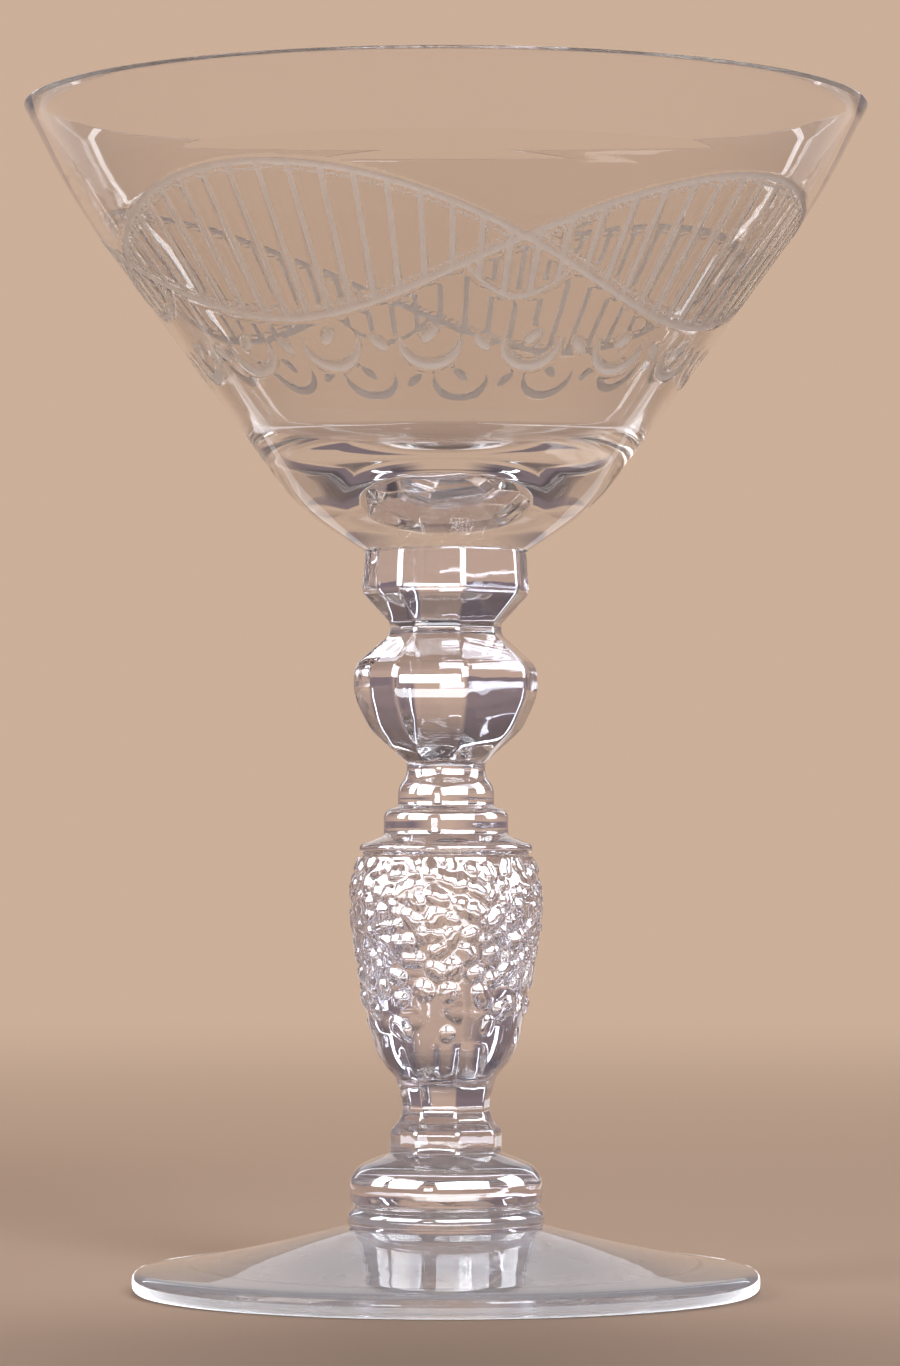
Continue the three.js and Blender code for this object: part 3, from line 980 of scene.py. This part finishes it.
ground_ring, shader = clear_glass("ground_ring_glass", CAST_TINT, **CAST_SKIN)
tree = ground_ring.node_tree
place = add_node(tree, "TexCoord").outputs["Object"]
height = add_node(tree, "SeparateXYZ", {"Vector": place}).outputs["Z"]
ring_mask = spread(tree, height, 1.0, 0.0, RING_FULLY_GROUND * MM, RING_GROUND_HEIGHT * MM)
grind(shader, ring_mask, RING_CLARITY)
print("finish:", ground_ring.name)

# %% [markdown]
# ## The seals
# Where two gathers are fused there is no surface any more: light goes straight through. In the model the
# two pieces meet on a disc, and as glass the two discs would mirror the light between them. So the faces of
# each disc let everything through, and the three pieces look like one lump.

# %% Sealed joint
sealed_joint, tree = empty_finish("sealed_joint")
through = add_node(tree, "BsdfTransparent").outputs["BSDF"]
add_node(tree, "OutputMaterial", {"Surface": through})
print("finish:", sealed_joint.name)

# %% [markdown]
# ## Dressing the pieces
# Each piece has a few finishes, and every face is given one of them by where it lies. One material with
# many masks could do the same, but separate finishes stay short and keep plain names.

# %% Dress the pieces
LEVEL = 0.01
LEVEL_NORMAL = 0.99


def dress(piece, finishes, choose):
    """Gives a piece its finishes and picks one of them for every face."""
    for finish in finishes:
        piece.data.materials.append(finish)
    counts = {finish.name: 0 for finish in finishes}
    for face in piece.data.polygons:
        finish = choose(face)
        face.material_index = finishes.index(finish)
        counts[finish.name] += 1
    print(piece.name, counts)


def on_level(face, height):
    """True for a face that lies flat at a height."""
    return abs(face.center.z / MM - height) < LEVEL and abs(face.normal.z) > LEVEL_NORMAL


def foot_face(face):
    """Seal on top, ground ring and satin hollow below, clear glass between."""
    if on_level(face, FOOT_TOP) and radius_of(face.center) < FOOT_SEAL_DIAMETER / 2 * MM:
        return sealed_joint
    if face.center.z < RING_GROUND_HEIGHT * MM:
        return ground_ring
    hollow = radius_of(face.center) < REST_DIAMETER / 2 * MM and face.normal.z < 0
    return mould_skin if hollow else cast_glass


def stem_face(face):
    """Seals at both ends, clear glass between."""
    return sealed_joint if on_level(face, FOOT_TOP) or on_level(face, STEM_TOP) else pressed_glass


def bowl_face(face):
    """Seal below, grey-cut band on the outer wall, clear glass elsewhere."""
    if on_level(face, STEM_TOP):
        return sealed_joint
    in_band = CUT_LOW * MM < face.center.z < CUT_HIGH * MM
    return grey_cut if in_band and faces_out(face.normal, face.center) else blown_glass


dress(cast_foot, [cast_glass, ground_ring, sealed_joint, mould_skin], foot_face)
dress(pressed_stem, [pressed_glass, sealed_joint], stem_face)
dress(blown_bowl, [blown_glass, grey_cut, sealed_joint], bowl_face)

# %% [markdown]
# ## Joining the pieces to the frame
# Each piece stands for one solid of the imported model and rides on its body.
# The glass has no moving parts, so that body is the root for all three.

# %% Join the pieces to the frame
for piece, node, slot in (
    (cast_foot, "foot", "cast_glass"),
    (pressed_stem, "stem", "pressed_glass"),
    (blown_bowl, "bowl", "blown_glass"),
):
    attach(piece, "root")
    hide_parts(node)
    print(piece.name, "stands for", node)

# %% [markdown]
# ## Floor
# The glass stands on a plain pale floor that runs back to a pale horizon of nearly the same warm colour. A
# curved backdrop would do this too, but it would show its bend in the glass. Here the far floor takes the
# horizon's own colour for the rays that are seen, so no line shows, and the near floor keeps the shadow.

# %% Lay the floor
FLOOR_RADIUS = 6.0
FLOOR_SIDES = 96
FLOOR_GAP = 0.05 * MM


def lay_floor():
    """A wide round floor just under the glass."""
    body = bmesh.new()
    bmesh.ops.create_circle(body, cap_ends=True, segments=FLOOR_SIDES, radius=FLOOR_RADIUS)
    bmesh.ops.translate(body, vec=(0, 0, -FLOOR_GAP), verts=body.verts[:])
    bmesh.ops.recalc_face_normals(body, faces=body.faces[:])
    return make_piece("floor", body)


floor = lay_floor()

# %% Floor finish
HORIZON = (0.60, 0.43, 0.32, 1)
FLOOR_TINT = (0.52, 0.385, 0.30, 1)
FLOOR_FADE_START = 0.05
FLOOR_FADE_END = 0.95


def join_values(tree, operation, first, second):
    """One Math node on two sockets."""
    return add_node(tree, "Math", {0: first, 1: second}, operation=operation).outputs["Value"]


def seen_rays(tree):
    """1 for rays that show the background itself: from the camera, in gloss and through glass."""
    path = add_node(tree, "LightPath").outputs
    camera_or_gloss = join_values(tree, 'MAXIMUM', path["Is Camera Ray"], path["Is Glossy Ray"])
    return join_values(tree, 'MAXIMUM', camera_or_gloss, path["Is Transmission Ray"])


def far_share(tree):
    """Grows from 0 near the glass to 1 far out on the floor."""
    place = add_node(tree, "TexCoord").outputs["Object"]
    distance = add_node(tree, "VectorMath", {0: place}, operation='LENGTH').outputs["Value"]
    return spread(tree, distance, 0.0, 1.0, FLOOR_FADE_START, FLOOR_FADE_END, 'SMOOTHERSTEP')


floor_finish, tree = empty_finish("pale_floor")
matte = {"Base Color": FLOOR_TINT, "Roughness": 1.0, "Specular IOR Level": 0.0}
near = add_node(tree, "BsdfPrincipled", matte).outputs["BSDF"]
far = add_node(tree, "Emission", {"Color": HORIZON}).outputs["Emission"]
share = join_values(tree, 'MULTIPLY', far_share(tree), seen_rays(tree))
mixed = add_node(tree, "MixShader", {"Fac": share, 1: near, 2: far}).outputs["Shader"]
add_node(tree, "OutputMaterial", {"Surface": mixed})
floor.data.materials.append(floor_finish)
print("finish:", floor_finish.name)

# %% [markdown]
# ## Surroundings
# Clear glass shows only what is round it, so the room is part of its look. The camera itself sees only the
# pale horizon. Gloss and glass see that horizon to the front, the back and both sides, a dimmer wall
# towards the four corners, and a dark ceiling, which give the glass its dark facets and edges. Black cards
# would do the same, but they would shade the floor.

# %% Room helpers
DIM_START = 0.3
DIM_END = 0.7
DARK_FROM = math.radians(12)
DARK_TO = math.radians(28)
DARK_SHARE = 0.7
ROOM_STOPS = [(0.0, 0.0), (math.sin(DARK_FROM), 0.0), (math.sin(DARK_TO), DARK_SHARE), (1.0, 1.0)]
# Places of a Mix node's colour sockets, which share their names with its other sockets
COLOUR_A = 6
COLOUR_B = 7
COLOUR_RESULT = 2


def blend_colour(tree, share, first, second):
    """A colour that goes from the first to the second with a share."""
    ends = {"Factor": share, COLOUR_A: first, COLOUR_B: second}
    return add_node(tree, "Mix", ends, data_type='RGBA').outputs[COLOUR_RESULT]


def corner_share(tree, direction):
    """0 towards the front, back and sides of the room, and 1 towards its corners."""
    level = add_node(tree, "VectorMath", {0: direction, 1: (1, 1, 0)}, operation='MULTIPLY')
    heading = add_node(tree, "VectorMath", {0: level.outputs["Vector"]}, operation='NORMALIZE')
    across = add_node(tree, "SeparateXYZ", {"Vector": heading.outputs["Vector"]}).outputs
    product = join_values(tree, 'MULTIPLY', across["X"], across["Y"])
    squared = join_values(tree, 'MULTIPLY', product, product)
    return spread(tree, squared, 0.0, 1.0, (DIM_START / 2) ** 2, (DIM_END / 2) ** 2)


def ceiling_share(tree, direction):
    """0 at the horizon, and 1 straight up."""
    upward = add_node(tree, "SeparateXYZ", {"Vector": direction}).outputs["Z"]
    ramp = add_node(tree, "ValToRGB", {"Fac": upward})
    stops = ramp.color_ramp.elements
    while len(stops) < len(ROOM_STOPS):
        stops.new(1.0)
    for stop, (height, share) in zip(stops, ROOM_STOPS):
        stop.position = height
        stop.color = (share, share, share, 1)
    return ramp.outputs["Color"]


# %% Surroundings
DIM = (0.20, 0.155, 0.175, 1)
ROOM_TOP = (0.05, 0.045, 0.058, 1)

world = bpy.data.worlds.new("studio")
bpy.context.scene.world = world
world.use_nodes = True
tree = world.node_tree
tree.nodes.clear()
direction = add_node(tree, "TexCoord").outputs["Generated"]
walls = blend_colour(tree, corner_share(tree, direction), HORIZON, DIM)
glass_room = blend_colour(tree, ceiling_share(tree, direction), walls, ROOM_TOP)
to_camera = add_node(tree, "LightPath").outputs["Is Camera Ray"]
room_colour = blend_colour(tree, to_camera, glass_room, HORIZON)
room = add_node(tree, "Background", {"Color": room_colour}).outputs["Background"]
add_node(tree, "OutputWorld", {"Surface": room})
print("world:", world.name, "with", len(tree.nodes), "nodes")

# %% [markdown]
# ## Soft studio light
# A soft key near the camera, up and to the right, and a fill at the left light the floor and the ground
# cuts, and a panel overhead lights the floor alone. Panels suit glass better than points or a sun, because
# they show as clean shapes in gloss. A panel's brightness is that of its surface, so a larger panel isn't a
# dimmer one.

# %% Lamp helpers
AIM = Vector((0, 0, 0.06))
COOL = (0.88, 0.93, 1.0)
GLOSS = ("gloss",)


def add_panel(name, place, size, brightness, tint=COOL, seen_in=GLOSS):
    """A soft panel lamp that faces the glass, seen in any of floor, gloss and glass.

    Its place is a turn in degrees to the right of the camera, a distance from the axis and a height.
    """
    turn, distance, height = place
    width, tall = size
    lamp = bpy.data.lights.new(name, 'AREA')
    lamp.shape = 'RECTANGLE'
    lamp.size = width
    lamp.size_y = tall
    lamp.energy = brightness * math.pi * width * tall
    lamp.color = tint
    holder = bpy.data.objects.new(name, lamp)
    angle = math.radians(turn)
    holder.location = (distance * math.sin(angle), -distance * math.cos(angle), height)
    holder.rotation_euler = (AIM - holder.location).to_track_quat('-Z', 'Y').to_euler()
    holder.visible_camera = False
    holder.visible_diffuse = "floor" in seen_in
    holder.visible_glossy = "gloss" in seen_in
    holder.visible_transmission = "glass" in seen_in
    bpy.context.collection.objects.link(holder)
    return holder


def lay_flat(panel, turn=0):
    """Lays a panel down so that it shines up, turned by so many degrees."""
    panel.rotation_euler = (math.pi, 0, math.radians(turn))


def light_only(piece, panels):
    """Lets panels light one piece and no other."""
    alone = bpy.data.collections.new(piece.name + "_alone")
    alone.objects.link(piece)
    for panel in panels:
        panel.light_linking.receiver_collection = alone


# %% Key, fill and top
WARM = (1.0, 0.95, 0.89)
ALL = ("floor", "gloss", "glass")
FLOOR = ("floor",)

add_panel("key", place=(25, 0.94, 0.60), size=(0.30, 0.30), brightness=17.7, seen_in=ALL)
add_panel("fill", place=(-60, 1.10, 0.55), size=(0.50, 0.90), brightness=3.5, tint=WARM, seen_in=ALL)
add_panel("top", place=(180, 0.60, 1.15), size=(0.70, 0.50), brightness=7.3, tint=WARM, seen_in=FLOOR)
print("soft light:", [lamp.name for lamp in bpy.data.lights])

# %% [markdown]
# ## Bright shapes for the glass
# Clear glass hardly shows soft light: it needs bright shapes to mirror and bend. A dim panel behind lies as
# a sheen on the foot, a small one in front makes a glint, and tall strips behind run down the edges of the
# bowl. The pebbles and facets need far more, which would bleach the foot, so those panels are linked to the
# stem alone, and a sheet under the foot to the foot alone. Two sheets on the floor behind show through the
# lower edges of the bowl. The floor sees none of these.

# %% Sheen, glint and strips
GLASS = ("gloss", "glass")
STRIP_TURN = 148

add_panel("back", place=(180, 0.95, 0.43), size=(1.60, 0.30), brightness=0.5)
add_panel("glint", place=(-21, 0.77, 0.105), size=(0.14, 0.10), brightness=14.0, seen_in=GLASS)
for name, turn in (("left_strip", -STRIP_TURN), ("right_strip", STRIP_TURN)):
    add_panel(name, place=(turn, 0.83, 0.75), size=(0.05, 1.5), brightness=4.2, seen_in=GLASS)
print("lamps so far:", len(bpy.data.lights))

# %% Sparkle on the stem
sparkles = []
for name, turn, width in (
    ("sparkle_right", 22, 1.00),
    ("sparkle_left", -54, 0.60),
    ("sparkle_far_right", 95, 0.40),
    ("sparkle_far_left", -92, 0.27),
):
    sparkles.append(add_panel(name, place=(turn, 0.75, 0.36), size=(width, 0.50), brightness=12.0))
low_sparkle = add_panel("sparkle_low", place=(0, 0.205, 0.002), size=(0.60, 0.19), brightness=6.0)
lay_flat(low_sparkle)
light_only(pressed_stem, [*sparkles, low_sparkle])
print("panels for the stem alone:", len(sparkles) + 1)

# %% Edges of the foot and the bowl
SHEET_TURN = 157

edge_sheet = add_panel("edge_sheet", place=(0, 0.0, -FLOOR_GAP / 2), size=(0.12, 0.12), brightness=4.0)
lay_flat(edge_sheet)
light_only(cast_foot, [edge_sheet])
for name, side in (("left_sheet", -1), ("right_sheet", 1)):
    place = (side * SHEET_TURN, 0.26, 0.002)
    sheet = add_panel(name, place, size=(0.11, 0.18), brightness=0.7, seen_in=GLASS)
    lay_flat(sheet, side * (180 - SHEET_TURN))
print("lamps:", [lamp.name for lamp in bpy.data.lights])

# %% [markdown]
# ## Camera
# The photograph was taken from close in front of the glass, with the lens as high as the shoulder of the
# stem and tilted up a little. The focal length is kept in pixels of the photograph, and the sensor turns it
# into millimetres: on an upright picture the sensor's long side is its height.

# %% Camera
PHOTO_HEIGHT = 1366
PHOTO_WIDTH = 900
FOCAL_PIXELS = 5204
EYE_LEVEL_PIXEL = 834.5
AXIS_PIXEL = 446
CAMERA_DISTANCE = 0.583
CAMERA_HEIGHT = 0.051
SENSOR = 36.0

lens = bpy.data.cameras.new("camera")
lens.sensor_width = SENSOR
lens.lens = FOCAL_PIXELS * SENSOR / PHOTO_HEIGHT
camera = bpy.data.objects.new("camera", lens)
tilt = math.atan((EYE_LEVEL_PIXEL - PHOTO_HEIGHT / 2) / FOCAL_PIXELS)
aside = (PHOTO_WIDTH / 2 - AXIS_PIXEL) * CAMERA_DISTANCE / FOCAL_PIXELS
camera.location = (aside, -CAMERA_DISTANCE, CAMERA_HEIGHT)
camera.rotation_euler = (math.pi / 2 + tilt, 0, 0)
bpy.context.collection.objects.link(camera)
bpy.context.scene.camera = camera
print(f"lens {lens.lens:.1f}, tilted up {math.degrees(tilt):.2f} degrees")

# %% [markdown]
# ## Light through glass
# A ray that meets the stem may cross a dozen surfaces before it leaves. The usual limits would stop it
# inside and leave black spots, so they are raised. The Standard view shows colours about as they are
# written.

# %% Ray limits
LONG_PATH = 32

scene = bpy.context.scene
scene.view_settings.view_transform = 'Standard'
scene.cycles.max_bounces = LONG_PATH
scene.cycles.transmission_bounces = LONG_PATH
scene.cycles.glossy_bounces = LONG_PATH
scene.cycles.transparent_max_bounces = LONG_PATH
print("ray limit:", LONG_PATH)
